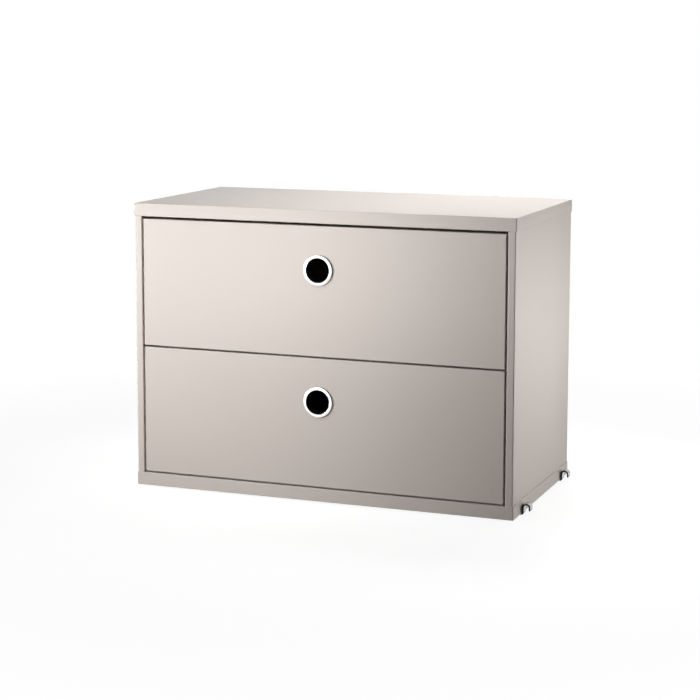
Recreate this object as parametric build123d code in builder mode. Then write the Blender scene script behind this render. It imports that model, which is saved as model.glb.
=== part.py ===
from build123d import *
import math
import os

os.makedirs("parts", exist_ok=True)

# A low drawer cabinet of lacquered board. Bent hooks under its ends hang it on the rungs of ladder
# frames. Each drawer runs on roller runners and is pulled by a finger ring in its front.
# Millimetres. +X is to the right seen from the front, +Y to the back, +Z up. The origin is under the
# middle of the whole box, level with the undersides of the hooks' feet.

# Carcass boards
cabinet_width = 580.0
cabinet_depth = 300.0
cabinet_height = 420.0  # underside of the bottom panel to the top
panel_thickness = 19.0  # top and bottom
side_thickness = 11.0
side_inset = 1.2  # the sides stand in from the ends of the top and bottom
edge_ease = 0.8  # eased edges of the boards
tongue_thickness = 5.0  # on the ends of the sides
tongue_height = 5.0
tongue_stop = 12.0  # tongues end this far from the front and back edges
back_thickness = 5.0
back_setback = 6.0  # back edge of the carcass to the back panel
groove_depth = 5.0
slide_fit = 0.1  # clearance on each face of a board in its groove
groove_end_gap = 0.3  # clearance at the bottom of a groove

# Drawer fronts and the gaps around them
front_thickness = 16.0
top_gap = 3.5
middle_gap = 2.5
bottom_gap = 2.5
side_gap = 2.5

# Finger rings
ring_drop = 63.0  # top edge of a front to the middle of its ring
ring_outer_radius = 22.0
ring_hole_radius = 17.2
ring_wall = 1.0  # of the sleeve through the front
ring_flange = 3.0  # stands proud of the front at the hole
ring_rim = 2.2  # stands proud of the front at the outer edge
ring_chamfer = 1.0  # at the mouth of the hole
ring_fit = 0.2  # sleeve to the hole in the front

# Drawer boxes
drawer_side_thickness = 12.0
drawer_side_drop = 26.75  # top edge of a front to the top edges of its drawer's sides
drawer_rear_gap = 23.0  # rear ends of the sides to the cabinet's back panel
drawer_overlap = 70.0  # length of a side that stays in the cabinet when the drawer is open
drawer_back_thickness = 12.0
drawer_back_setback = 8.0  # rear ends of the sides to the back
drawer_bottom_thickness = 4.0
drawer_bottom_rise = 12.0  # lower edge of a side to the underside of the bottom
housing_depth = 6.0  # in the back of a front, for the ends of the sides

# Roller runners
runner_space = 12.5  # inner face of the carcass side to the drawer side
runner_setback = 2.0  # channel to the back of a front, and past the drawer's rear end
runner_rise = 9.0  # lower edge of a front to the channel floor
runner_steel = 1.2
runner_bend = 1.0  # smaller radius of the bends
runner_gap = 0.6  # channel lip to the drawer runner
channel_lip = 3.0
drawer_rise = 1.0  # channel floor to the lower edge of a drawer side
drawer_flange = 10.0  # under the drawer side
track_clearance = 1.0  # top of the rear roller to the track over it
track_headroom = 1.6  # track to the top of the channel
roller_end_distance = 15.0  # roller centre to the end of its runner
roller_width = 5.5
front_roller_radius = 11.0
rear_roller_radius = 12.0
rolling_gap = 0.2  # roller to the face that it rolls on
stop_height = 6.0  # tabs turned up from the channel floor
stop_thickness = 1.5
stop_gap = 0.4
rivet_radius = 2.5
rivet_head_radius = 4.2
rivet_head_thickness = 0.8
rivet_collar_radius = 4.0
rivet_play = 0.2  # between a roller and the head or collar beside it
roller_bore_fit = 0.08
rivet_fit = 0.05  # rivet to the hole in its runner

# Countersunk screws of the hooks
screw_radius = 1.75
screw_head_radius = 3.4
screw_length = 10.0
screw_fit = 0.1
small_sides = 12  # small round pieces are many-sided

# Hanging hooks
hook_width = 12.0
hook_thickness = 2.5
hook_gap = 7.0  # between the leg and the lip, the rung's place
hook_rise = 13.9  # underside of the bottom panel to the top of the arch
hook_lip_rise = 3.5  # underside of the bottom panel to the end of the lip
hook_inner_bend = 0.8
hook_foot_length = 38.0
hook_foot_corner = 3.0
hook_front_setback = 51.0  # front of the cabinet to the middle of a front hook
hook_rear_setback = 36.0  # back of the cabinet to the middle of a rear hook
hook_screw_inset = 12.0  # end of the bottom panel to the nearer screw
hook_screw_spacing = 16.0

# Planes of the carcass
panel_end_x = cabinet_width / 2
side_outer_x = panel_end_x - side_inset
side_inner_x = side_outer_x - side_thickness
side_middle_x = side_outer_x - side_thickness / 2
front_y = -(cabinet_depth - ring_flange) / 2
back_y = front_y + cabinet_depth
middle_y = front_y + cabinet_depth / 2
back_middle_y = back_y - back_setback - back_thickness / 2
back_inner_y = back_y - back_setback - back_thickness
base_z = hook_thickness
opening_z = base_z + panel_thickness
ceiling_z = base_z + cabinet_height - panel_thickness
opening_height = ceiling_z - opening_z

# Grooves in the carcass
tongue_length = cabinet_depth - 2 * tongue_stop
back_slot = back_thickness + 2 * slide_fit
groove_cut = groove_depth + groove_end_gap

# Fronts
front_width = 2 * (side_inner_x - side_gap)
front_height = (opening_height - top_gap - middle_gap - bottom_gap) / 2
front_back_y = front_y + front_thickness
lower_front_z = opening_z + bottom_gap
upper_front_z = lower_front_z + front_height + middle_gap

# Across a runner, from the middle of the cabinet
drawer_outer_x = side_inner_x - runner_space
drawer_inner_x = drawer_outer_x - drawer_side_thickness
channel_web_x = side_inner_x - runner_steel
drawer_web_x = drawer_outer_x + runner_steel
channel_lip_x = drawer_web_x + runner_gap
roller_x = (channel_web_x + channel_lip_x + runner_steel) / 2
roller_inner_x = roller_x - roller_width / 2
roller_outer_x = roller_x + roller_width / 2

# Along a runner
runner_front_y = front_back_y + runner_setback
drawer_rear_y = back_inner_y - drawer_rear_gap
runner_length = drawer_rear_y + runner_setback - runner_front_y
drawer_side_length = drawer_rear_y - front_back_y
drawer_travel = drawer_side_length - drawer_overlap
housing_y = front_back_y - housing_depth + groove_end_gap
front_roller_y = runner_front_y + roller_end_distance
rear_roller_y = drawer_rear_y - roller_end_distance
stop_reach = math.sqrt(rear_roller_radius**2 - (rear_roller_radius - stop_height) ** 2) + stop_gap
front_stop_y = rear_roller_y - drawer_travel - stop_reach - stop_thickness / 2
rear_stop_y = rear_roller_y + stop_reach + stop_thickness / 2

# Above the channel floor
rear_roller_rise = rear_roller_radius + rolling_gap
track_rise = rear_roller_rise + rear_roller_radius + track_clearance
front_roller_rise = track_rise - rolling_gap - front_roller_radius
channel_height = track_rise + runner_steel + track_headroom
drawer_side_height = front_height - drawer_side_drop - runner_rise - drawer_rise

# Hooks
hook_outer_radius = hook_gap / 2 + hook_thickness
arch_x = panel_end_x + hook_outer_radius
arch_z = base_z + hook_rise - hook_outer_radius
hook_screw_xs = [panel_end_x - hook_screw_inset - hook_screw_spacing * n for n in range(2)]

SIDES = (("left", -1), ("right", 1))
DRAWERS = (("lower", lower_front_z), ("upper", upper_front_z))
HOOKS = (("front", front_y + hook_front_setback), ("rear", back_y - hook_rear_setback))
hook_screw_places = [(sign * x, y, 0) for _, sign in SIDES for _, y in HOOKS for x in hook_screw_xs]


def save(piece, name):
    """Label a finished piece and write it to its own file."""
    piece.part.label = name
    export_step(piece.part, f"parts/{name}.step")


def section(sign, y):
    """Upright plane across the cabinet: local x is the distance from its middle, local y the height."""
    return Plane((0, y, 0), x_dir=(sign, 0, 0), z_dir=(0, -sign, 0))


def floor_z(front_z):
    """Height of the channel floor of the drawer whose front starts at front_z."""
    return front_z + runner_rise


def side_z(front_z):
    """Height of the lower edge of that drawer's sides."""
    return floor_z(front_z) + drawer_rise


def bottom_z(front_z):
    """Height of the underside of that drawer's bottom."""
    return side_z(front_z) + drawer_bottom_rise


def ring_z(front_z):
    """Height of the middle of that drawer's finger ring."""
    return front_z + front_height - ring_drop


def screw_form(clearance):
    """A countersunk screw pointing up from its head's face at the origin, grown by clearance for its hole."""
    with BuildPart() as form:
        with BuildSketch():
            RegularPolygon(screw_head_radius + clearance, small_sides, major_radius=False)
        extrude(amount=screw_head_radius - screw_radius, taper=45)
        with BuildSketch():
            RegularPolygon(screw_radius + clearance, small_sides, major_radius=False)
        extrude(amount=screw_length + clearance)
    return form.part


def make_hook_screws():
    """The screws that hold the hooks' feet to the bottom panel, two in each foot."""
    with BuildPart() as screws:
        with Locations(*hook_screw_places):
            add(screw_form(0))
    save(screws, "hook_screws")


def make_cross_panel(name, panel_z, groove_z, into_panel, screw_places):
    """The top or bottom, grooved for the sides' tongues and the back panel, drilled for the hooks."""
    with BuildPart() as panel:
        with BuildSketch(Plane.XY.offset(panel_z)):
            with Locations((0, middle_y)):
                Rectangle(cabinet_width, cabinet_depth)
        extrude(amount=panel_thickness)
        chamfer(panel.edges(), edge_ease)
        with BuildSketch(Plane.XY.offset(groove_z)):
            with Locations((-side_middle_x, middle_y), (side_middle_x, middle_y)):
                Rectangle(tongue_thickness + 2 * slide_fit, tongue_length + 2 * slide_fit)
        extrude(amount=into_panel * (tongue_height + groove_end_gap), mode=Mode.SUBTRACT)
        with BuildSketch(Plane.XY.offset(groove_z)):
            with Locations((0, back_middle_y)):
                Rectangle(2 * (side_inner_x + groove_cut), back_slot)
        extrude(amount=into_panel * groove_cut, mode=Mode.SUBTRACT)
        if screw_places:
            with Locations(*screw_places):
                add(screw_form(screw_fit), mode=Mode.SUBTRACT)
    save(panel, name)


def make_side_panel(name, sign):
    """A carcass side with a stopped tongue on each end and a groove for the back panel."""
    with BuildPart() as side:
        with BuildSketch(Plane.XY.offset(opening_z)):
            with Locations((sign * side_middle_x, middle_y)):
                Rectangle(side_thickness, cabinet_depth)
        extrude(amount=opening_height)
        chamfer(side.edges().filter_by(Axis.Z), edge_ease)
        with BuildSketch(Plane.XY.offset(opening_z - tongue_height)):
            with Locations((sign * side_middle_x, middle_y)):
                Rectangle(tongue_thickness, tongue_length)
        extrude(amount=opening_height + 2 * tongue_height)
        with BuildSketch(Plane.XY.offset(opening_z - tongue_height)):
            with Locations((sign * side_inner_x, back_middle_y)):
                Rectangle(2 * groove_cut, back_slot)
        extrude(amount=opening_height + 2 * tongue_height, mode=Mode.SUBTRACT)
    save(side, name)


def make_back_panel():
    """The back, held in grooves all round."""
    with BuildPart() as back:
        with BuildSketch(Plane.XY.offset(opening_z - groove_depth)):
            with Locations((0, back_middle_y)):
                Rectangle(2 * (side_inner_x + groove_depth), back_thickness)
        extrude(amount=opening_height + 2 * groove_depth)
    save(back, "back_panel")


def make_hook(name, sign, hook_y):
    """A strip bent into a foot, a leg up the panel's end, a round arch and a lip, screwed from below."""
    with BuildPart() as hook:
        with BuildSketch(section(sign, hook_y - hook_width / 2)):
            with BuildLine():
                FilletPolyline(
                    (panel_end_x - hook_foot_length, base_z),
                    (panel_end_x, base_z),
                    (panel_end_x, arch_z),
                    radius=hook_inner_bend,
                )
                arch = CenterArc((arch_x, arch_z), hook_outer_radius, 180, -180)
                Line(arch @ 1, (arch_x + hook_outer_radius, base_z + hook_lip_rise))
                offset(amount=hook_thickness, side=Side.RIGHT)
            make_face()
        extrude(amount=-sign * hook_width)
        upright_edges = hook.edges().filter_by(Axis.Z)
        chamfer(upright_edges.sort_by(lambda edge: abs(edge.center().X))[:2], hook_foot_corner)
        with Locations(*hook_screw_places):
            add(screw_form(screw_fit), mode=Mode.SUBTRACT)
    save(hook, name)


def make_front(name, front_z):
    """A drawer front with its finger hole, housed in its back for the drawer's sides and bottom."""
    housing_x = drawer_outer_x - drawer_side_thickness / 2
    housing_z = side_z(front_z) + drawer_side_height / 2
    with BuildPart() as front:
        with BuildSketch(Plane.XZ.offset(-front_y)):
            with Locations((0, front_z + front_height / 2)):
                Rectangle(front_width, front_height)
        extrude(amount=-front_thickness)
        chamfer(front.faces().sort_by(Axis.Y)[0].edges(), edge_ease)
        with BuildSketch(Plane.XZ.offset(-front_y)):
            with Locations((0, ring_z(front_z))):
                Circle(ring_hole_radius + ring_wall + ring_fit)
        extrude(amount=-front_thickness, mode=Mode.SUBTRACT)
        with BuildSketch(Plane.XZ.offset(-front_back_y)):
            with Locations((-housing_x, housing_z), (housing_x, housing_z)):
                Rectangle(drawer_side_thickness + 2 * slide_fit, drawer_side_height + 2 * slide_fit)
            with Locations((0, bottom_z(front_z) + drawer_bottom_thickness / 2)):
                Rectangle(2 * drawer_inner_x, drawer_bottom_thickness + 2 * slide_fit)
        extrude(amount=housing_depth, mode=Mode.SUBTRACT)
    save(front, name)


def make_finger_ring(name, front_z):
    """A turned ring: a flange that rises towards its hole, and a sleeve through the front."""
    middle_z = ring_z(front_z)
    flange_y = front_y - ring_flange
    hole_z = middle_z + ring_hole_radius
    sleeve_z = hole_z + ring_wall
    rim_z = middle_z + ring_outer_radius
    with BuildPart() as ring:
        with BuildSketch(Plane.YZ):
            with BuildLine():
                Polyline(
                    (front_back_y, hole_z),
                    (flange_y + ring_chamfer, hole_z),
                    (flange_y, hole_z + ring_chamfer),
                    (front_y - ring_rim, rim_z),
                    (front_y, rim_z),
                    (front_y, sleeve_z),
                    (front_back_y, sleeve_z),
                    close=True,
                )
            make_face()
        revolve(axis=Axis((0, 0, middle_z), (0, 1, 0)))
    save(ring, name)


def make_drawer_side(name, sign, front_z):
    """A drawer side, its front end housed in the front, grooved for the bottom and the back."""
    length = drawer_rear_y - housing_y
    lower_z = side_z(front_z)
    upper_z = lower_z + drawer_side_height
    slot_z = bottom_z(front_z) + drawer_bottom_thickness
    slot_y = drawer_rear_y - drawer_back_setback - drawer_back_thickness / 2
    with BuildPart() as side:
        with BuildSketch(Plane.YZ.offset(sign * drawer_inner_x)):
            with Locations((housing_y + length / 2, lower_z + drawer_side_height / 2)):
                Rectangle(length, drawer_side_height)
        extrude(amount=sign * drawer_side_thickness)
        chamfer(side.edges().group_by(Axis.Z)[-1].filter_by(Axis.Y), edge_ease)
        with BuildSketch(Plane.YZ.offset(sign * drawer_inner_x)):
            with Locations((housing_y + length / 2, slot_z - drawer_bottom_thickness / 2)):
                Rectangle(length, drawer_bottom_thickness + 2 * slide_fit)
            with Locations((slot_y, (slot_z + upper_z) / 2)):
                Rectangle(drawer_back_thickness + 2 * slide_fit, upper_z - slot_z)
        extrude(amount=sign * groove_cut, mode=Mode.SUBTRACT)
    save(side, name)


def make_drawer_back(name, front_z):
    """A drawer back that stands on the bottom, its ends in the grooves of the sides."""
    lower_z = bottom_z(front_z) + drawer_bottom_thickness
    upper_z = side_z(front_z) + drawer_side_height
    with BuildPart() as back:
        with BuildSketch(Plane.XZ.offset(drawer_back_setback - drawer_rear_y)):
            with Locations((0, (lower_z + upper_z) / 2)):
                Rectangle(2 * (drawer_inner_x + groove_depth), upper_z - lower_z)
        extrude(amount=drawer_back_thickness)
        chamfer(back.edges().group_by(Axis.Z)[-1].filter_by(Axis.X), edge_ease)
    save(back, name)


def make_drawer_bottom(name, front_z):
    """A drawer bottom in the grooves of the sides and the front, running on under the back."""
    rear_y = drawer_rear_y - drawer_back_setback
    tongue = front_back_y - housing_y
    with BuildPart() as bottom:
        with BuildSketch(Plane.XY.offset(bottom_z(front_z))):
            with Locations((0, (front_back_y + rear_y) / 2)):
                Rectangle(2 * (drawer_inner_x + groove_depth), rear_y - front_back_y)
            with Locations((0, front_back_y - tongue / 2)):
                Rectangle(2 * (drawer_inner_x - slide_fit), tongue)
        extrude(amount=drawer_bottom_thickness)
    save(bottom, name)


def make_cabinet_runner(name, sign, front_z):
    """A steel channel on the carcass side, with a tab turned up at each end of the rear roller's way."""
    floor = floor_z(front_z)
    web = (floor - runner_steel, floor + channel_height + runner_steel)
    with BuildPart() as runner:
        with BuildSketch(section(sign, runner_front_y)):
            with BuildLine():
                FilletPolyline(
                    (channel_lip_x, floor + channel_lip),
                    (channel_lip_x, web[0]),
                    (side_inner_x, web[0]),
                    (side_inner_x, web[1]),
                    (channel_lip_x, web[1]),
                    radius=runner_bend + runner_steel,
                )
                offset(amount=runner_steel, side=Side.LEFT)
            make_face()
        extrude(amount=-sign * runner_length)
        with BuildSketch(Plane.XY.offset(floor - runner_steel / 2)):
            with Locations((sign * roller_x, front_stop_y), (sign * roller_x, rear_stop_y)):
                Rectangle(roller_width, stop_thickness)
        extrude(amount=stop_height + runner_steel / 2)
        with BuildSketch(Plane.YZ.offset(sign * channel_web_x)):
            with Locations((front_roller_y, floor + front_roller_rise)):
                RegularPolygon(rivet_radius + rivet_fit, small_sides)
        extrude(amount=sign * runner_steel, mode=Mode.SUBTRACT)
    save(runner, name)


def make_drawer_runner(name, sign, front_z):
    """A steel angle on the drawer side: a flange under it, a web, and a track over the front roller."""
    floor = floor_z(front_z)
    lower_z = side_z(front_z)
    with BuildPart() as runner:
        with BuildSketch(section(sign, front_back_y)):
            with BuildLine():
                FilletPolyline(
                    (drawer_outer_x - drawer_flange, lower_z - runner_steel),
                    (drawer_web_x, lower_z - runner_steel),
                    (drawer_web_x, floor + track_rise),
                    (roller_outer_x, floor + track_rise),
                    radius=runner_bend,
                )
                offset(amount=runner_steel, side=Side.LEFT)
            make_face()
        extrude(amount=-sign * drawer_side_length)
        with BuildSketch(Plane.YZ.offset(sign * drawer_outer_x)):
            with Locations((rear_roller_y, floor + rear_roller_rise)):
                RegularPolygon(rivet_radius + rivet_fit, small_sides)
        extrude(amount=sign * runner_steel, mode=Mode.SUBTRACT)
    save(runner, name)


def make_rollers(name, y, z, radius):
    """The left and right rollers of one axle line."""
    with BuildPart() as rollers:
        for _, sign in SIDES:
            with BuildSketch(Plane.YZ.offset(sign * roller_inner_x)):
                with Locations((y, z)):
                    Circle(radius)
                    RegularPolygon(
                        rivet_radius + roller_bore_fit, small_sides, major_radius=False, mode=Mode.SUBTRACT
                    )
            extrude(amount=sign * roller_width)
    save(rollers, name)


def make_rivets(name, y, z, stations, radii):
    """The left and right rivets that carry a pair of rollers, each a row of discs of the given radii.

    stations are the faces of the discs, measured from the middle of the cabinet outwards.
    """
    with BuildPart() as rivets:
        for _, sign in SIDES:
            for start_x, end_x, radius in zip(stations, stations[1:], radii):
                with BuildSketch(Plane.YZ.offset(sign * start_x)):
                    with Locations((y, z)):
                        RegularPolygon(radius, small_sides)
                extrude(amount=sign * (end_x - start_x))
    save(rivets, name)


# Carcass
make_cross_panel("top_panel", ceiling_z, ceiling_z, 1, [])
make_cross_panel("bottom_panel", base_z, opening_z, -1, hook_screw_places)
for side_name, sign in SIDES:
    make_side_panel(f"{side_name}_side_panel", sign)
make_back_panel()

# Hooks
for hook_name, hook_y in HOOKS:
    for side_name, sign in SIDES:
        make_hook(f"{hook_name}_{side_name}_hook", sign, hook_y)
make_hook_screws()

# Runners on the carcass
for level, front_z in DRAWERS:
    for side_name, sign in SIDES:
        make_cabinet_runner(f"{level}_{side_name}_cabinet_runner", sign, front_z)

# Drawers
for level, front_z in DRAWERS:
    make_front(f"{level}_drawer_front", front_z)
    make_finger_ring(f"{level}_finger_ring", front_z)
    make_drawer_back(f"{level}_drawer_back", front_z)
    make_drawer_bottom(f"{level}_drawer_bottom", front_z)
    for side_name, sign in SIDES:
        make_drawer_side(f"{level}_drawer_{side_name}_side", sign, front_z)
        make_drawer_runner(f"{level}_{side_name}_drawer_runner", sign, front_z)
    front_roller_z = floor_z(front_z) + front_roller_rise
    make_rollers(f"{level}_front_rollers", front_roller_y, front_roller_z, front_roller_radius)
    make_rivets(
        f"{level}_front_roller_rivets",
        front_roller_y,
        front_roller_z,
        (
            roller_inner_x - rivet_play - rivet_head_thickness,
            roller_inner_x - rivet_play,
            roller_outer_x + rivet_play,
            channel_web_x,
            side_inner_x,
        ),
        (rivet_head_radius, rivet_radius, rivet_collar_radius, rivet_radius),
    )
    rear_roller_z = floor_z(front_z) + rear_roller_rise
    make_rollers(f"{level}_rear_rollers", rear_roller_y, rear_roller_z, rear_roller_radius)
    make_rivets(
        f"{level}_rear_roller_rivets",
        rear_roller_y,
        rear_roller_z,
        (
            drawer_outer_x,
            drawer_web_x,
            roller_inner_x - rivet_play,
            roller_outer_x + rivet_play,
            roller_outer_x + rivet_play + rivet_head_thickness,
        ),
        (rivet_radius, rivet_collar_radius, rivet_radius, rivet_head_radius),
    )
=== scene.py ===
import math

import bmesh
import bpy
import numpy as np
from mathutils import Matrix, Vector


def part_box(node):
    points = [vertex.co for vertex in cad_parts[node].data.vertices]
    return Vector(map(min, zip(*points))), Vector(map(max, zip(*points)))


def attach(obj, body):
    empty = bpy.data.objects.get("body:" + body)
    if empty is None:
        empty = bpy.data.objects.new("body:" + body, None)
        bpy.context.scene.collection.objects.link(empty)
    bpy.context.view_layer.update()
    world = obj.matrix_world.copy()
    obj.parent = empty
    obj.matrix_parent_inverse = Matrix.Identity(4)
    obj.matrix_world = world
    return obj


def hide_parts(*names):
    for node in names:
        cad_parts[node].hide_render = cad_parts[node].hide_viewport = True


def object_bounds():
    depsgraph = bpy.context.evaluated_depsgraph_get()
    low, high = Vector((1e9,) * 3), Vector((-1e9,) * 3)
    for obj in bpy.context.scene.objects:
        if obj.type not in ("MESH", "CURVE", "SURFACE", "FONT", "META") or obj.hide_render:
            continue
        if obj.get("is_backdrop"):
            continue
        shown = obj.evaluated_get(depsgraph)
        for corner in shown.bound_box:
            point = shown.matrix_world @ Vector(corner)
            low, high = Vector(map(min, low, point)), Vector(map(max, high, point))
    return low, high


# A two-drawer cabinet of lacquered board with bright finger rings, hanging hooks and roller runners.
# Every new piece is a numpy surface in the model's own frame, in metres.

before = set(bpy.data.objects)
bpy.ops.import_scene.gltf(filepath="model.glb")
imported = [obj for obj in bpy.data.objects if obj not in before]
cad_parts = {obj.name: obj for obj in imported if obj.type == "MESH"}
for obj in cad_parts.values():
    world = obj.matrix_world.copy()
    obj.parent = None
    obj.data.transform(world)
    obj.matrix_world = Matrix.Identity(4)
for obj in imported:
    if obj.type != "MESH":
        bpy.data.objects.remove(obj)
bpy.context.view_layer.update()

MM = 0.001
LEVELS = ("lower", "upper")
SIDES = (("left", -1), ("right", 1))

# Lacquered boards
BOARD_CORNER = 1.6 * MM  # radius of the upright corners
PANEL_RIM = 0.8 * MM  # radius of the top and bottom panels' rims
SIDE_RIM = 0.3 * MM  # radius where a side meets the panels
FRONT_ROUND = 1.0 * MM  # radius of the drawer fronts' edges
FRONT_HOLE = 18.4 * MM  # radius of the hole for a ring's sleeve

# Finger rings
RING_HOLE = 17.2 * MM  # radii
RING_SLEEVE = 18.2 * MM
RING_OUTER = 22.0 * MM
RING_MOUTH = 1.0 * MM  # chamfer at the mouth of the hole
RING_RIM = 2.2 * MM  # stands proud of the front at the outer edge
RING_ROUNDS = (0, 0.3 * MM, 0.5 * MM, 0.7 * MM, 0, 0, 0)  # at the profile's corners

# Hooks
HOOK_STRIP = 2.5 * MM  # thickness
HOOK_WIDTH = 12.0 * MM
HOOK_EDGE = 0.35 * MM  # radius along the strip's edges
HOOK_BEND = 0.8 * MM  # inner radius between foot and leg
HOOK_GAP = 7.0 * MM  # the rung's place
HOOK_RISE = 13.9 * MM  # underside of the panel to the top of the arch
HOOK_LIP = 3.5 * MM  # underside of the panel to the end of the lip
HOOK_FOOT = 38.0 * MM
FOOT_CORNER = 3.0 * MM
SINK_RADIUS = 3.5 * MM  # countersinks in the foot
SINK_DEPTH = 1.6 * MM
HOOK_SCREW_INSETS = (12.0 * MM, 28.0 * MM)  # from the panel's end

# Screws
SCREW_SHANK = 1.7 * MM  # radius
HOOK_SCREW_HEAD = 3.3 * MM  # radius
HOOK_SCREW_LENGTH = 9.8 * MM
HOOK_SCREW_SINK = 0.15 * MM  # head's face to the underside of the foot
RUNNER_SCREW_HEAD = 3.0 * MM  # radius
RUNNER_SCREW_RISE = 0.5 * MM  # of the domed head
RUNNER_SCREW_LENGTH = 2.0 * MM

# Runners
RUNNER_STEEL = 1.2 * MM
ROLLER_WIDTH = 5.5 * MM
ROLLER_BORE = 2.6 * MM  # radius
ROLLER_PLAY = 0.2 * MM  # to the rivet's head or collar
RIVET_HEAD = 0.8 * MM  # thickness
RIVET_SHANK_RADIUS = 2.5 * MM
RIVET_COLLAR_RADIUS = 4.0 * MM
RIVET_HEAD_RADIUS = 4.2 * MM

# Stage
FLOOR_REACH = 6.0
FLOOR_TONES = (0.20, 0.21)
FLOOR_FADE = (0.45, 1.1)  # distances where it starts to turn white and is white
FLOOR_FILL = 0.88  # its own light to the eye
FLOOR_BOUNCE = 0.15  # share of its colour that lights the object from below
AMBIENT = 0.02
SCREENS = (((-0.36, -0.93, 0.0), 30.0), ((0.93, -0.36, 0.0), 28.0))  # directions and half angles in degrees
SCREEN_SOFT = 12.0  # degrees on both sides of a screen's edge
SCREEN_DARK = 0.96  # share of the white that a screen takes away
WARM = (1.0, 0.962, 0.935)  # of the lamps on the right


def box(node):
    """Lowest and highest corner of a solid as two arrays."""
    low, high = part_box(node)
    return np.array(low), np.array(high)


# Shader nodes


def feed(tree, slot, value):
    """Links an output to a socket, or sets the socket to a plain value."""
    if isinstance(value, bpy.types.NodeSocket):
        tree.links.new(value, slot)
    else:
        slot.default_value = value


def math_node(tree, operation, *values):
    """A math node; each value is a number or an output to link."""
    node = tree.nodes.new("ShaderNodeMath")
    node.operation = operation
    for slot, value in zip(node.inputs, values):
        feed(tree, slot, value)
    return node.outputs[0]


def vector_node(tree, operation, vector, other=None):
    """A vector math node; the other input is a scale, a vector or an output to link."""
    node = tree.nodes.new("ShaderNodeVectorMath")
    node.operation = operation
    feed(tree, node.inputs[0], vector)
    if other is not None:
        feed(tree, node.inputs["Scale" if operation == "SCALE" else 1], other)
    return node.outputs["Value" if operation in ("DOT_PRODUCT", "LENGTH") else "Vector"]


def noise(tree, vector, scale, detail=2.0, roughness=0.5):
    """Noise between about 0 and 1 on the given coordinates."""
    node = tree.nodes.new("ShaderNodeTexNoise")
    feed(tree, node.inputs["Vector"], vector)
    feed(tree, node.inputs["Scale"], scale)
    feed(tree, node.inputs["Detail"], detail)
    feed(tree, node.inputs["Roughness"], roughness)
    return node.outputs["Fac"]


def soft_step(tree, value, start, end):
    """0 at start and 1 at end, with a smooth step between them; start may be the larger."""
    node = tree.nodes.new("ShaderNodeMapRange")
    node.interpolation_type = "SMOOTHSTEP"
    feed(tree, node.inputs["Value"], value)
    feed(tree, node.inputs["From Min"], start)
    feed(tree, node.inputs["From Max"], end)
    return node.outputs["Result"]


def colour_mix(tree, factor, first, second):
    """Goes from the first colour to the second; each is four numbers or an output to link."""
    node = tree.nodes.new("ShaderNodeMix")
    node.data_type = "RGBA"
    feed(tree, node.inputs["Factor"], factor)
    for slot, colour in zip([s for s in node.inputs if s.type == "RGBA"], (first, second)):
        feed(tree, slot, colour)
    return next(s for s in node.outputs if s.type == "RGBA")


def new_group(name, inputs, outputs):
    """A node group with named sockets; returns it with its input and output nodes.

    Inputs are (name, kind, value) and outputs (name, kind).
    """
    group = bpy.data.node_groups.new(name, "ShaderNodeTree")
    for label, kind, value in inputs:
        made = group.interface.new_socket(name=label, in_out="INPUT", socket_type="NodeSocket" + kind)
        made.default_value = value
    for label, kind in outputs:
        group.interface.new_socket(name=label, in_out="OUTPUT", socket_type="NodeSocket" + kind)
    return group, group.nodes.new("NodeGroupInput").outputs, group.nodes.new("NodeGroupOutput").inputs


# Finishes


def make_sprayed_finish():
    """Group for a sprayed or polished surface: cloudy tone, cloudy gloss and a fine orange-peel height.

    Tone = colour times (1 + spread times (broad noise - 0.5)). Roughness = given value plus its own spread
    times (finer noise - 0.5). Height is a fine noise.
    """
    group, given, out = new_group(
        "sprayed_finish",
        [
            ("Colour", "Color", (0.6, 0.6, 0.6, 1)),
            ("Tone spread", "Float", 0.03),
            ("Roughness", "Float", 0.4),
            ("Gloss spread", "Float", 0.06),
        ],
        [("Colour", "Color"), ("Roughness", "Float"), ("Height", "Float")],
    )
    broad_scale, cloud_scale, peel_scale = 7.0, 60.0, 900.0
    place = group.nodes.new("ShaderNodeTexCoord").outputs["Object"]
    broad = math_node(group, "SUBTRACT", noise(group, place, broad_scale, 3.0), 0.5)
    tone = math_node(group, "MULTIPLY_ADD", broad, given["Tone spread"], 1.0)
    feed(group, out["Colour"], vector_node(group, "SCALE", given["Colour"], tone))
    cloudy = math_node(group, "SUBTRACT", noise(group, place, cloud_scale, 3.0), 0.5)
    gloss = math_node(group, "MULTIPLY_ADD", cloudy, given["Gloss spread"], given["Roughness"])
    feed(group, out["Roughness"], gloss)
    feed(group, out["Height"], noise(group, place, peel_scale))
    return group


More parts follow.
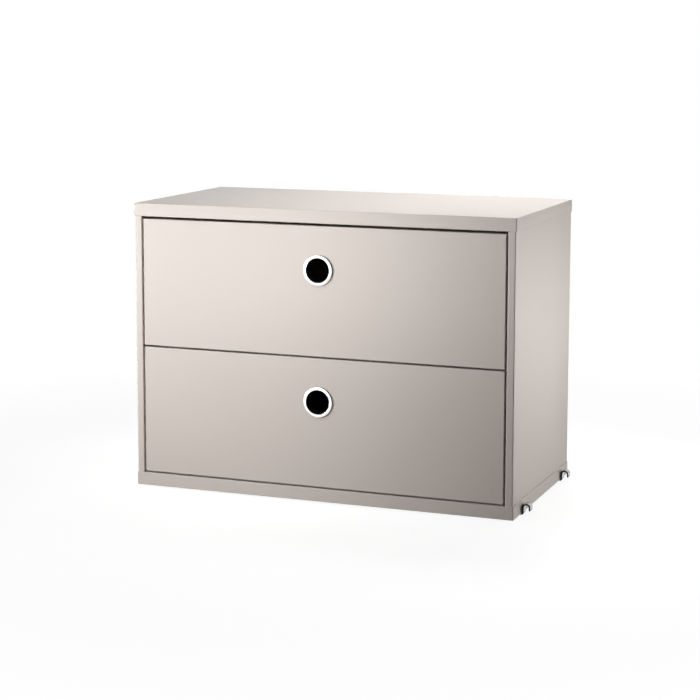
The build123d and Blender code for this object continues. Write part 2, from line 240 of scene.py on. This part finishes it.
def make_ply_grain():
    """Group for light plywood: long streaks of grain on the upright faces, layers on the edges that face up.

    Grain is noise on coordinates squeezed along the grain. Layers are a sine of the coordinate across the
    board, shown where the surface faces up or down.
    """
    group, given, out = new_group(
        "ply_grain",
        [
            ("Light", "Color", (0.66, 0.54, 0.39, 1)),
            ("Dark", "Color", (0.50, 0.38, 0.25, 1)),
            ("Squeeze", "Vector", (8, 120, 120)),
            ("Across", "Vector", (1, 0, 0)),
        ],
        [("Colour", "Color"), ("Height", "Float")],
    )
    two_layers = 2.8 * MM
    coordinates = group.nodes.new("ShaderNodeTexCoord").outputs
    squeezed = vector_node(group, "MULTIPLY", coordinates["Object"], given["Squeeze"])
    streaks = noise(group, squeezed, 1.0, 6.0, 0.6)
    faces = math_node(group, "MULTIPLY_ADD", streaks, 1.6, -0.35)
    across = vector_node(group, "DOT_PRODUCT", coordinates["Object"], given["Across"])
    layers = math_node(group, "SINE", math_node(group, "MULTIPLY", across, 2 * math.pi / two_layers))
    stripes = math_node(group, "MULTIPLY_ADD", layers, 0.4, 0.5)
    facing = group.nodes.new("ShaderNodeSeparateXYZ")
    feed(group, facing.inputs[0], coordinates["Normal"])
    level = math_node(group, "GREATER_THAN", math_node(group, "ABSOLUTE", facing.outputs["Z"]), 0.5)
    pattern = group.nodes.new("ShaderNodeMix")
    feed(group, pattern.inputs["Factor"], level)
    feed(group, pattern.inputs["A"], faces)
    feed(group, pattern.inputs["B"], stripes)
    feed(group, out["Colour"], colour_mix(group, pattern.outputs["Result"], given["Light"], given["Dark"]))
    feed(group, out["Height"], streaks)
    return group


sprayed_finish = make_sprayed_finish()
ply_grain = make_ply_grain()


def new_material(name):
    """A node material with its Principled shader."""
    material = bpy.data.materials.new(name)
    material.use_nodes = True
    return material, material.node_tree, material.node_tree.nodes["Principled BSDF"]


def place_group(tree, group, values):
    """Puts a node group into a material with its own values and returns its outputs."""
    node = tree.nodes.new("ShaderNodeGroup")
    node.node_tree = group
    for name, value in values.items():
        feed(tree, node.inputs[name], value)
    return node.outputs


def add_bump(tree, shader, height, strength):
    """Feeds a height into the shader's normal."""
    bump = tree.nodes.new("ShaderNodeBump")
    feed(tree, bump.inputs["Strength"], strength)
    feed(tree, bump.inputs["Distance"], 0.2 * MM)
    feed(tree, bump.inputs["Height"], height)
    feed(tree, shader.inputs["Normal"], bump.outputs["Normal"])


def sprayed(name, colour, tone_spread, roughness, gloss_spread, peel, metallic=0.0):
    """A material on the sprayed finish group, with its own values."""
    material, tree, shader = new_material(name)
    values = {"Tone spread": tone_spread, "Roughness": roughness, "Gloss spread": gloss_spread}
    finish = place_group(tree, sprayed_finish, {"Colour": (*colour, 1), **values})
    feed(tree, shader.inputs["Base Color"], finish["Colour"])
    feed(tree, shader.inputs["Roughness"], finish["Roughness"])
    shader.inputs["Metallic"].default_value = metallic
    add_bump(tree, shader, finish["Height"], peel)
    return material


def plywood(name, squeeze, across):
    """Lacquered light plywood with its grain and layers in the given directions."""
    material, tree, shader = new_material(name)
    grain = place_group(tree, ply_grain, {"Squeeze": squeeze, "Across": across})
    feed(tree, shader.inputs["Base Color"], grain["Colour"])
    shader.inputs["Roughness"].default_value = 0.5
    add_bump(tree, shader, grain["Height"], 0.15)
    return material


def chrome_with_painted_dark_reflection(name, bright, dark, start, end, roughness):
    """Bright metal that is dark, and duller, where its surface faces one way.

    The dark is a painted reflection of shade: it grows as the surface faces more (start < end) or less (start >
    end) along the cabinet's depth.
    """
    material, tree, shader = new_material(name)
    finish = place_group(tree, sprayed_finish, {"Colour": (*bright, 1), "Roughness": roughness})
    facing = tree.nodes.new("ShaderNodeSeparateXYZ")
    feed(tree, facing.inputs[0], tree.nodes.new("ShaderNodeTexCoord").outputs["Normal"])
    # painted dark reflection: the metal is coloured dark, and made duller, by the way its surface faces, in
    # place of mirrored shade
    painted_dark_share = soft_step(tree, math_node(tree, "ABSOLUTE", facing.outputs["Y"]), start, end)
    feed(tree, shader.inputs["Base Color"], colour_mix(tree, painted_dark_share, finish["Colour"], (*dark, 1)))
    duller = math_node(tree, "MULTIPLY_ADD", painted_dark_share, 0.3, finish["Roughness"])
    feed(tree, shader.inputs["Roughness"], duller)
    shader.inputs["Metallic"].default_value = 1.0
    return material


lacquer = sprayed("warm_grey_lacquer", (0.612, 0.551, 0.504), 0.03, 0.40, 0.05, 0.06)
back_lacquer = sprayed("back_panel_lacquer", (0.57, 0.525, 0.49), 0.05, 0.55, 0.06, 0.1)
# The hook strips' cut edges, which face along the depth, get a painted dark reflection.
hook_chrome = chrome_with_painted_dark_reflection("hook_strip_chrome", (0.41, 0.41, 0.42), (0.022, 0.021, 0.02), 0.35, 0.65, 0.1)
# The rings' walls, which face across the depth (outer flank, bore and sleeve), get a painted dark reflection of
# shade.
ring_chrome = chrome_with_painted_dark_reflection("finger_ring_chrome", (0.90, 0.90, 0.91), (0.03, 0.027, 0.025), 0.82, 0.72, 0.3)
powder_coat = sprayed("runner_powder_coat", (0.70, 0.69, 0.66), 0.04, 0.5, 0.08, 0.35)
nylon = sprayed("roller_nylon", (0.74, 0.73, 0.69), 0.05, 0.45, 0.08, 0.08)
zinc = sprayed("zinc_plate", (0.62, 0.62, 0.60), 0.12, 0.32, 0.15, 0.05, 1.0)
side_ply = plywood("side_plywood", (160, 9, 160), (1, 0, 0))
back_ply = plywood("back_plywood", (9, 160, 160), (0, 1, 0))
bottom_ply = plywood("bottom_plywood", (7, 140, 140), (0, 0, 0))


# Surfaces


def grid_faces(rows, columns, round_rows=False, round_columns=False):
    """Corner numbers of the quads between neighbours of a grid, closed in a direction where asked."""
    i = np.arange(rows if round_rows else rows - 1)[:, None]
    j = np.arange(columns if round_columns else columns - 1)[None, :]
    next_i, next_j = (i + 1) % rows, (j + 1) % columns
    corners = (i * columns + j, i * columns + next_j, next_i * columns + next_j, next_i * columns + j)
    return np.stack(np.broadcast_arrays(*corners), axis=-1).reshape(-1, 4)


def lidded_faces(rows, columns):
    """Faces of a tube of closed rows, with a flat lid on its first and its last row."""
    lids = [list(range(columns)), list(range((rows - 1) * columns, rows * columns))]
    return grid_faces(rows, columns, round_columns=True).tolist() + lids


def piece(name, points, faces, material, body, slot, stands_for=(), crease=35.0):
    """Makes a closed piece from points and faces: merged, facing outwards, smooth up to the crease angle."""
    mesh = bpy.data.meshes.new(name)
    mesh.from_pydata(np.asarray(points).reshape(-1, 3).tolist(), [], [list(map(int, f)) for f in faces])
    work = bmesh.new()
    work.from_mesh(mesh)
    bmesh.ops.remove_doubles(work, verts=work.verts, dist=1e-7)
    bmesh.ops.dissolve_degenerate(work, edges=work.edges, dist=1e-7)
    bmesh.ops.recalc_face_normals(work, faces=work.faces)
    work.to_mesh(mesh)
    work.free()
    mesh.shade_smooth()
    mesh.set_sharp_from_angle(angle=math.radians(crease))
    mesh.materials.append(material)
    made = bpy.data.objects.new(name, mesh)
    bpy.context.scene.collection.objects.link(made)
    made.modifiers.new("even_normals", "WEIGHTED_NORMAL").keep_sharp = True
    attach(made, body)
    if stands_for:
        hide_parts(*stands_for)


def arc(start, end, count):
    """Angles from start to end in degrees, both included, in radians."""
    return np.radians(np.linspace(start, end, count))


def circle(turn):
    """Points (cos, sin) of a circle of radius 1 at the given angles."""
    return np.column_stack([np.cos(turn), np.sin(turn)])


def eased_outline(half, radius, steps, extra=0):
    """Round a rectangle: the centre of each point's corner arc, and the outward direction at each point.

    Each corner turns a quarter circle in steps; extra points follow along each straight edge.
    """
    centre, way = [], []
    corners = np.array([[1, 1], [-1, 1], [-1, -1], [1, -1]]) * (half - radius)
    share = (np.arange(extra) + 1)[:, None] / (extra + 1)
    for k in range(4):
        quarter = circle(arc(90 * k, 90 * k + 90, steps + 1))
        edge = corners[(k + 1) % 4] - corners[k]
        centre += [np.tile(corners[k], (steps + 1, 1)), corners[k] + edge * share]
        way += [quarter, np.tile(quarter[-1], (extra, 1))]
    return np.concatenate(centre), np.concatenate(way)


def eased_board(low, high, corner, rim, steps=6):
    """A board with rounded upright corners and rounded rims above and below.

    Point = centre of the corner arc + (corner radius - rim x (1 - cos(tilt))) x outward direction, at the half
    height less the rim, plus rim x sin(tilt), on both sides. Flat lids close it.
    """
    middle, half = (low + high) / 2, (high - low) / 2
    centre, way = eased_outline(half[:2], corner, steps)
    tilt = np.concatenate([arc(-90, 0, steps + 1), arc(0, 90, steps + 1)])
    height = np.repeat([-1.0, 1.0], steps + 1) * (half[2] - rim) + rim * np.sin(tilt)
    reach = corner - rim * (1 - np.cos(tilt))
    flat = centre[None] + reach[:, None, None] * way[None]
    upright = np.broadcast_to(height[:, None, None], flat.shape[:2] + (1,))
    return np.concatenate([flat, upright], axis=2) + middle, lidded_faces(*flat.shape[:2])


def eased_front(low, high, radius, hole, hole_radius, steps=5, extra=14):
    """A drawer front with rounded edges and a round hole.

    Rows run from the hole over the front face, round the edge, over the back face and back to the hole, and
    the hole's wall closes them. On the faces each row joins the circle to the core outline by straight rays.
    """
    middle, half = (low + high) / 2, (high - low) / 2
    core, way = eased_outline(half[[0, 2]], radius, steps, extra)
    core = core + middle[[0, 2]]
    ray = core - hole
    rim = hole + hole_radius * ray / np.linalg.norm(ray, axis=1, keepdims=True)
    turn = arc(0, 90, steps + 1)
    reach = radius * np.concatenate([np.sin(turn), np.cos(turn)])
    flat = np.concatenate([rim[None], core + reach[:, None, None] * way, rim[None]])
    over_front, over_back = low[1] + radius * (1 - np.cos(turn)), high[1] - radius * (1 - np.sin(turn))
    depth = np.concatenate([[low[1]], over_front, over_back, [high[1]]])
    depth = np.broadcast_to(depth[:, None], flat.shape[:2])
    points = np.stack([flat[..., 0], depth, flat[..., 1]], axis=-1)
    return points, grid_faces(*flat.shape[:2], round_rows=True, round_columns=True)


def turned(along, radius, centres, axis, signs, count, closed=False):
    """Turns rows of points about an axis at each centre.

    Point = centre + sign x along x axis + radius x (cos, sin) in the plane across it. Along is one column of
    values for the rows, or has a value for each row and angle.
    """
    centres, signs = np.asarray(centres), np.asarray(signs, float)
    across = [k for k in range(3) if k != axis]
    grid = np.zeros((len(centres), len(radius), count, 3))
    grid[..., axis] = signs[:, None, None] * along
    grid[..., across] = radius[:, None, None] * circle(2 * math.pi * np.arange(count) / count)
    grid += centres[:, None, None, :]
    faces = grid_faces(len(radius), count, round_rows=closed, round_columns=True)
    first = np.arange(len(centres)) * len(radius) * count
    return grid, (faces[None] + first[:, None, None]).reshape(-1, 4)


def turned_profile(profile, centres, axis, signs, count, closed=False):
    """Turns a profile of (distance along, radius) about an axis at each centre."""
    return turned(profile[:, :1], profile[:, 1], centres, axis, signs, count, closed)


def fillet_points(points, radii, steps):
    """A closed polygon with rounded corners: each corner becomes a quadratic curve.

    The curve starts and ends the given distance from the corner, on its two sides, and has the corner as its
    middle point.
    """
    points = np.asarray(points, float)
    share = np.linspace(0, 1, steps + 1)[:, None]
    rounded = []
    for k, radius in enumerate(radii):
        corner, before, after = points[k], points[k - 1], points[(k + 1) % len(points)]
        if radius == 0:
            rounded.append(corner[None])
            continue
        a = corner + (before - corner) / np.linalg.norm(before - corner) * radius
        b = corner + (after - corner) / np.linalg.norm(after - corner) * radius
        rounded.append((1 - share) ** 2 * a + 2 * share * (1 - share) * corner + share**2 * b)
    return np.concatenate(rounded)


# Carcass
for node in ("top_panel", "bottom_panel"):
    board = eased_board(*box(node), BOARD_CORNER, PANEL_RIM)
    piece(node + "_board", *board, lacquer, "carcass", "lacquer", [node])
for side, _ in SIDES:
    node = side + "_side_panel"
    low, high = box(node)
    low[2], high[2] = box("bottom_panel")[1][2], box("top_panel")[0][2]
    board = eased_board(low, high, BOARD_CORNER, SIDE_RIM)
    piece(node + "_board", *board, lacquer, "carcass", "lacquer", [node])

# Drawer fronts and finger rings
for level in LEVELS:
    low, high = box(level + "_drawer_front")
    ring_low, ring_high = box(level + "_finger_ring")
    centre = (ring_low + ring_high) / 2
    front = eased_front(low, high, FRONT_ROUND, centre[[0, 2]], FRONT_HOLE)
    piece(level + "_front_board", *front, lacquer, level + "_drawer", "lacquer", [level + "_drawer_front"])
    proud, face, back = ring_low[1], low[1], high[1]
    corners = [
        (back, RING_HOLE),
        (proud + RING_MOUTH, RING_HOLE),
        (proud, RING_HOLE + RING_MOUTH),
        (face - RING_RIM, RING_OUTER),
        (face, RING_OUTER),
        (face, RING_SLEEVE),
        (back, RING_SLEEVE),
    ]
    profile = fillet_points(corners, RING_ROUNDS, 8) - [centre[1], 0]
    ring = turned_profile(profile, [centre], 1, [1], 160, closed=True)
    piece(level + "_ring", *ring, ring_chrome, level + "_drawer", "chrome", [level + "_finger_ring"])


# Hooks


def hook_strip(sign, middle_y, panel_end, panel_under):
    """A bright strip bent into a foot, a leg, a round arch and a lip, with two countersinks under the foot.

    Path: line, quarter arc, line, half circle, line, each with its right-hand normal. Point = path + depth x
    normal, with depth and width round a rectangle with small round corners. The width closes in a quarter
    circle at the foot's end. Under the foot the depth loses (countersink radius - distance to the screw).
    """
    half_width, outer = HOOK_WIDTH / 2, HOOK_GAP / 2 + HOOK_STRIP
    foot_end = panel_end - HOOK_FOOT
    bend_centre = np.array([panel_end - HOOK_BEND, panel_under + HOOK_BEND])
    arch_centre = np.array([panel_end + outer, panel_under + HOOK_RISE - outer])
    foot = np.linspace(foot_end, bend_centre[0], 90)
    bend, arch = circle(arc(-90, 0, 9)[1:]), circle(arc(180, 0, 41))
    lip_end = [[arch_centre[0] + outer, panel_under + HOOK_LIP]]
    path = [np.column_stack([foot, np.full(90, panel_under)]), bend_centre + HOOK_BEND * bend]
    path = np.concatenate(path + [arch_centre + outer * arch, lip_end])
    normal = np.concatenate([np.tile([0.0, -1.0], (90, 1)), bend, -arch, [[-1.0, 0.0]]])

    across = np.linspace(-half_width + HOOK_EDGE, half_width - HOOK_EDGE, 41)
    under = np.column_stack([across, np.full(41, HOOK_STRIP)])
    right = np.array([half_width - HOOK_EDGE, HOOK_STRIP - HOOK_EDGE]) + HOOK_EDGE * circle(arc(90, 0, 5))
    left = right * [-1, 1]
    over_right, over_left = right * [1, -1] + [0, HOOK_STRIP], left * [1, -1] + [0, HOOK_STRIP]
    section = np.concatenate([under, right[1:], over_right[::-1], over_left, left[::-1][:-1]])

    along = np.clip((path[:, 0] - foot_end) / FOOT_CORNER, 0, 1)
    narrow = 1 - FOOT_CORNER / half_width * (1 - np.sqrt(1 - (1 - along) ** 2))
    wide = narrow[:, None] * section[:, 0]
    deep = np.tile(section[:, 1], (len(path), 1))
    on_foot = path[:, 1, None] <= panel_under + 1e-6
    for inset in HOOK_SCREW_INSETS:
        reach = np.hypot(path[:, 0, None] - (panel_end - inset), wide)
        sink = np.clip(SINK_RADIUS - reach, 0, SINK_DEPTH) * on_foot
        deep = np.where(deep > HOOK_STRIP / 2, deep - sink, deep)
    flat = path[:, None, :] + deep[..., None] * normal[:, None, :]
    return np.stack([sign * flat[..., 0], middle_y + wide, flat[..., 1]], axis=-1), lidded_faces(*wide.shape)


panel_low, panel_high = box("bottom_panel")
hook_screw_places = []
for end in ("front", "rear"):
    for side, sign in SIDES:
        node = f"{end}_{side}_hook"
        low, high = box(node)
        middle_y = (low[1] + high[1]) / 2
        strip = hook_strip(sign, middle_y, panel_high[0], panel_low[2])
        piece(node + "_strip", *strip, hook_chrome, "carcass", "chrome", [node], 50.0)
        screw_x = [sign * (panel_high[0] - inset) for inset in HOOK_SCREW_INSETS]
        hook_screw_places += [(x, middle_y, HOOK_SCREW_SINK) for x in screw_x]


def crossed_screws(centres, axis, signs, head, rise, length):
    """Screws with a cross recess: rings of growing radius over the head, then its cone and shank.

    The head's face is domed by the rise. Its depth gains recess x soft steps of the arm's half width against
    the distance to the nearer axis, and of the arm's end against the distance along it.
    """
    rings, count = 25, 64
    half_arm, arm_end, recess = 0.17 * head, 0.6 * head, 0.28 * head
    radius = np.concatenate([np.linspace(0, head, rings), [SCREW_SHANK, SCREW_SHANK, 0.0]])
    spread = abs(radius[:, None, None] * circle(2 * math.pi * np.arange(count) / count))
    arm = np.clip((half_arm - spread.min(axis=2)) / (0.05 * head), 0, 1)
    arm *= np.clip((arm_end - spread.max(axis=2)) / (0.1 * head), 0, 1)
    arm[rings - 1:] = 0
    dome = -rise * np.sqrt(1 - np.linspace(0, 0.999, rings) ** 2)
    along = np.concatenate([dome, [head - SCREW_SHANK, length, length]])[:, None] + recess * arm
    return turned(along, radius, centres, axis, signs, count)


heads = crossed_screws(hook_screw_places, 2, np.ones(8), HOOK_SCREW_HEAD, 0.0, HOOK_SCREW_LENGTH)
piece("hook_screw_set", *heads, zinc, "carcass", "screw", ["hook_screws"])


# Rollers, rivets and screws of the runners


def wheel_profile(inner, outer, bore, radius):
    """Profile of a roller: a hub and a rim with a shallow dish between them on both faces, corners rounded."""
    hub, rim, slope, dish = 5.2 * MM, radius - 1.5 * MM, 0.5 * MM, 0.7 * MM
    steps = np.array([bore, hub, hub + slope, rim - slope, rim, radius])
    depth = np.array([0, 0, dish, dish, 0, 0])
    rounds = np.array([0, 0.2, 0.3, 0.3, 0.2, 0.5]) * MM
    faces = [np.column_stack([inner + depth, steps]), np.column_stack([outer - depth, steps])[::-1]]
    return fillet_points(np.concatenate(faces), np.concatenate([rounds, rounds[::-1]]), 4)


def rivet_profile(stations, radii):
    """Profile of a rivet: a row of discs between the stations, the widest one with rounded corners."""
    along = np.repeat(stations, 2)
    radius = np.concatenate([[0], np.repeat(radii, 2), [0]])
    return fillet_points(np.column_stack([along, radius]), np.where(radius == max(radii), 0.35 * MM, 0), 4)


signs = np.array([sign for _, sign in SIDES], float)
for level in LEVELS:
    drawer = level + "_drawer"
    channel_back = box(f"{level}_right_cabinet_runner")[1][0]
    drawer_face = box(drawer + "_right_side")[1][0]
    for end, body in (("front", "carcass"), ("rear", drawer)):
        rollers = f"{level}_{end}_rollers"
        low, high = box(rollers)
        middle = (low + high) / 2 * [0, 1, 1]
        outer, inner = high[0], high[0] - ROLLER_WIDTH
        profile = wheel_profile(inner, outer, ROLLER_BORE, (high[2] - low[2]) / 2)
        wheels = turned_profile(profile, [middle, middle], 0, signs, 96, closed=True)
        piece(rollers + "_wheels", *wheels, nylon, rollers, "roller", [rollers])
        near, far = inner - ROLLER_PLAY, outer + ROLLER_PLAY
        radii = [RIVET_HEAD_RADIUS, RIVET_SHANK_RADIUS, RIVET_COLLAR_RADIUS, RIVET_SHANK_RADIUS]
        if end == "front":
            stations = (near - RIVET_HEAD, near, far, channel_back - RUNNER_STEEL, channel_back)
        else:
            stations = (drawer_face, drawer_face + RUNNER_STEEL, near, far, far + RIVET_HEAD)
            radii.reverse()
        rivets = turned_profile(rivet_profile(stations, radii), [middle, middle], 0, signs, 48)
        node = f"{level}_{end}_roller_rivets"
        piece(node + "_set", *rivets, zinc, body, "screw", [node])
    for runner, body, plane, way, inset, rise in (
        ("cabinet_runner", "carcass", channel_back - RUNNER_STEEL, 1, 37.0 * MM, 22.5 * MM),
        ("drawer_runner", drawer, drawer_face + RUNNER_STEEL, -1, 45.0 * MM, 9.0 * MM),
    ):
        low, high = box(f"{level}_right_{runner}")
        places = [(sign * plane, y, low[2] + rise) for sign in signs for y in (low[1] + inset, high[1] - inset)]
        ways = np.repeat(way * signs, 2)
        screws = crossed_screws(places, 0, ways, RUNNER_SCREW_HEAD, RUNNER_SCREW_RISE, RUNNER_SCREW_LENGTH)
        piece(f"{level}_{runner}_screws", *screws, zinc, body, "screw")

# Finishes of the solids that stay
finishes = {"back_panel": back_lacquer}
for level in LEVELS:
    finishes[level + "_drawer_back"] = back_ply
    finishes[level + "_drawer_bottom"] = bottom_ply
    for side, _ in SIDES:
        finishes[f"{level}_drawer_{side}_side"] = side_ply
        finishes[f"{level}_{side}_cabinet_runner"] = powder_coat
        finishes[f"{level}_{side}_drawer_runner"] = powder_coat
for node, material in finishes.items():
    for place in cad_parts[node].material_slots:
        place.material = material


# Stage


def seen_directly(tree):
    """1 for a ray from the eye, a mirror or glass, 0 for a ray that only carries light."""
    path = tree.nodes.new("ShaderNodeLightPath")
    sharp = math_node(tree, "MAXIMUM", path.outputs["Is Camera Ray"], path.outputs["Is Glossy Ray"])
    return math_node(tree, "MAXIMUM", sharp, path.outputs["Is Transmission Ray"])


def make_floor():
    """A flat pale floor, wide enough to pass out of sight.

    To the eye it has a light of its own, and turns plain white by a smooth step of the distance.
    """
    mesh = bpy.data.meshes.new("floor")
    corners = FLOOR_REACH * np.array([(-1, -1, 0), (1, -1, 0), (1, 1, 0), (-1, 1, 0)])
    mesh.from_pydata(corners.tolist(), [], [(0, 1, 2, 3)])
    material, tree, shader = new_material("pale_floor")
    shader.inputs["Roughness"].default_value = 0.9
    shader.inputs["Specular IOR Level"].default_value = 0.1
    place = tree.nodes.new("ShaderNodeTexCoord").outputs["Object"]
    seen = seen_directly(tree)
    tint = colour_mix(tree, noise(tree, place, 2.0, 3.0), *((tone, tone, tone, 1) for tone in FLOOR_TONES))
    share = math_node(tree, "MULTIPLY_ADD", seen, 1 - FLOOR_BOUNCE, FLOOR_BOUNCE)
    feed(tree, shader.inputs["Base Color"], vector_node(tree, "SCALE", tint, share))
    glow = tree.nodes.new("ShaderNodeEmission")
    feed(tree, glow.inputs["Strength"], math_node(tree, "MULTIPLY", seen, FLOOR_FILL))
    near = tree.nodes.new("ShaderNodeAddShader")
    feed(tree, near.inputs[0], shader.outputs[0])
    feed(tree, near.inputs[1], glow.outputs[0])
    white = tree.nodes.new("ShaderNodeEmission")
    feed(tree, white.inputs["Strength"], seen)
    away = soft_step(tree, vector_node(tree, "LENGTH", place), *FLOOR_FADE)
    mix = tree.nodes.new("ShaderNodeMixShader")
    feed(tree, mix.inputs["Fac"], math_node(tree, "MULTIPLY", away, seen))
    feed(tree, mix.inputs[1], near.outputs[0])
    feed(tree, mix.inputs[2], white.outputs[0])
    feed(tree, tree.nodes["Material Output"].inputs["Surface"], mix.outputs[0])
    mesh.materials.append(material)
    made = bpy.data.objects.new("floor", mesh)
    bpy.context.scene.collection.objects.link(made)
    made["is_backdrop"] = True


def make_world():
    """White where it is seen directly, a low even light elsewhere; reflections also see dark screens.

    Screen = smooth step of the cosine between the direction looked in and the screen's own direction.
    """
    world = bpy.data.worlds.new("studio")
    world.use_nodes = True
    tree = world.node_tree
    background = tree.nodes["Background"]
    background.inputs["Color"].default_value = (1, 1, 1, 1)
    looking = tree.nodes.new("ShaderNodeTexCoord").outputs["Generated"]
    dark = 0.0
    for way, reach in SCREENS:
        toward = vector_node(tree, "DOT_PRODUCT", looking, Vector(way).normalized())
        edges = np.cos(np.radians([reach + SCREEN_SOFT, reach - SCREEN_SOFT])).tolist()
        dark = math_node(tree, "MAXIMUM", soft_step(tree, toward, *edges), dark)
    mirrored = tree.nodes.new("ShaderNodeLightPath").outputs["Is Glossy Ray"]
    left = math_node(tree, "MULTIPLY_ADD", math_node(tree, "MULTIPLY", dark, mirrored), -SCREEN_DARK, 1.0)
    seen = seen_directly(tree)
    shown = math_node(tree, "MULTIPLY", seen, left)
    strength = math_node(tree, "MULTIPLY_ADD", math_node(tree, "SUBTRACT", 1.0, seen), AMBIENT, shown)
    feed(tree, background.inputs["Strength"], strength)
    bpy.context.scene.world = world


def softbox(name, place, aim, size, grid, watts, colour=(1, 1, 1)):
    """A square soft lamp at a place, facing the aim; grid is the angle its honeycomb lets through."""
    data = bpy.data.lights.new(name, "AREA")
    data.shape = "SQUARE"
    data.size, data.spread, data.energy, data.color = size, math.radians(grid), watts, colour
    lamp = bpy.data.objects.new(name, data)
    lamp.location = place
    lamp.rotation_mode = "QUATERNION"
    lamp.rotation_quaternion = (Vector(aim) - Vector(place)).to_track_quat("-Z", "Y")
    lamp.visible_camera = False
    bpy.context.scene.collection.objects.link(lamp)


make_floor()
make_world()
softbox("front_left", (-0.5, -1.7, 0.35), (-0.25, -0.15, 0.4), 0.6, 61.9, 1.236)
softbox("left_far", (-1.2, -1.1, 0.35), (-0.1, -0.15, 0.35), 0.3, 60.0, 1.92)
softbox("left_near", (-0.6, -0.7, 0.35), (0.15, -0.15, 0.4), 0.3, 22.6, 0.087)
softbox("over_left", (-0.5, -0.45, 1.0), (-0.25, -0.15, 0.4), 0.6, 22.6, 0.381)
softbox("right_wide", (1.4, 1.0, 0.2), (0.289, -0.1, 0.25), 0.3, 43.6, 0.688, WARM)
softbox("right_middle", (1.4, 0.9, 0.3), (0.289, 0.0, 0.2), 0.3, 25.0, 0.153, WARM)
softbox("right_low", (1.1, 1.1, 0.0), (0.289, -0.05, 0.2), 0.3, 25.0, 0.052, WARM)
softbox("over_rear", (0.0, 0.6, 1.6), (0.25, 0.05, 0.42), 0.4, 43.6, 1.109)
softbox("over_back", (0.3, 0.6, 1.2), (0.0, 0.0, 0.22), 0.4, 180.0, 4.3)
softbox("rear_fill", (-0.7, 1.7, 0.2), (0.0, 0.15, 0.2), 0.3, 60.0, 0.7)


def make_camera():
    """The camera fitted to the photograph: place, heading, tilt and roll, with a small drop of the window."""
    place = (0.98187, -2.58507, 0.68096)
    heading, tilt, roll = np.radians([-20.967, -7.321, 0.121])
    forward = Vector((math.sin(heading) * math.cos(tilt), math.cos(heading) * math.cos(tilt), math.sin(tilt)))
    right = Vector((math.cos(heading), -math.sin(heading), 0))
    up = right.cross(forward)
    right, up = right * math.cos(roll) + up * math.sin(roll), up * math.cos(roll) - right * math.sin(roll)
    data = bpy.data.cameras.new("camera")
    data.sensor_width, data.lens, data.shift_y = 36.0, 96.459, -0.12
    data.clip_end = 50
    camera = bpy.data.objects.new("camera", data)
    camera.matrix_world = Matrix.Translation(place) @ Matrix((right, up, -forward)).transposed().to_4x4()
    bpy.context.scene.collection.objects.link(camera)
    bpy.context.scene.camera = camera


make_camera()
bpy.context.scene.view_settings.view_transform = "Standard"
low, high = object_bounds()
